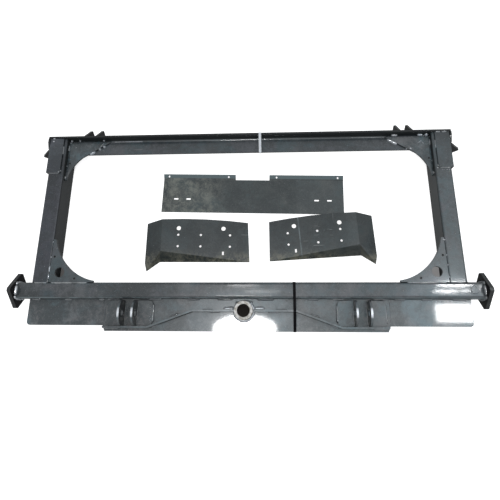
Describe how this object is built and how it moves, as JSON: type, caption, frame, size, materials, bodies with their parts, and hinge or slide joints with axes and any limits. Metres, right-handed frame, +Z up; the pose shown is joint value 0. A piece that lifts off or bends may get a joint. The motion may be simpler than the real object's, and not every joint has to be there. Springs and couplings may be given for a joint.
{
  "type": "skid steer quick attach plate",
  "caption": "Wide welded quick attach frame lying flat: square lower beam with diamond end flanges, uprights, lipped top rail, apron with pivot boss and clevises, and loose sheet brackets.",
  "frame": {"origin": "middle of the footprint, on the floor the frame lies on", "axes": "+X to the right along the beam, +Y from the beam to the top rail, +Z up, from the floor to the face with the ears"},
  "size_m": [1.9, 0.8958, 0.1401],
  "materials": {
    "frame_paint": "gloss charcoal paint",
    "plug_paint": "gloss charcoal paint",
    "boss_steel": "worn bright rim",
    "sheet_paint": "satin dark grey paint with dust",
    "dark_strap": "matt",
    "pale_strap": "matt"
  },
  "bodies": {
    "frame": {"bottom_beam": "frame_paint", "end_flange_left": "frame_paint", "end_flange_right": "frame_paint", "upright_left": "frame_paint", "upright_right": "frame_paint", "top_rail": "frame_paint", "corner_doubler_left": "frame_paint", "corner_doubler_right": "frame_paint", "lip_end_rib_left": "frame_paint", "lip_end_rib_right": "frame_paint", "gusset_top_left": "frame_paint", "gusset_top_right": "frame_paint", "gusset_bottom_left": "frame_paint", "gusset_bottom_right": "frame_paint", "rear_lug_left_inner": "frame_paint", "rear_lug_left_outer": "frame_paint", "rear_lug_right_inner": "frame_paint", "rear_lug_right_outer": "frame_paint", "side_lug_left": "frame_paint", "side_lug_right": "frame_paint", "apron_plate": "frame_paint", "center_plate": "frame_paint", "stiffener_left": "frame_paint", "stiffener_right": "frame_paint", "clevis_left_inner": "frame_paint", "clevis_left_outer": "frame_paint", "clevis_right_inner": "frame_paint", "clevis_right_outer": "frame_paint", "beam_plug": "plug_paint", "pivot_boss": "boss_steel", "strap_dark": "dark_strap", "strap_pale": "pale_strap"},
    "cover": {"cover_plate": "sheet_paint"},
    "tray_left": {"bracket_left": "sheet_paint"},
    "tray_right": {"bracket_right": "sheet_paint"}
  },
  "joints": [
    {"name": "cover_lift", "type": "slide", "parent": "frame", "child": "cover", "axis": [0, 0, 1], "range_m": [0, 0.3]},
    {"name": "bracket_left_lift", "type": "slide", "parent": "frame", "child": "tray_left", "axis": [0, 0, 1], "range_m": [0, 0.3]},
    {"name": "bracket_right_lift", "type": "slide", "parent": "frame", "child": "tray_right", "axis": [0, 0, 1], "range_m": [0, 0.3]}
  ]
}
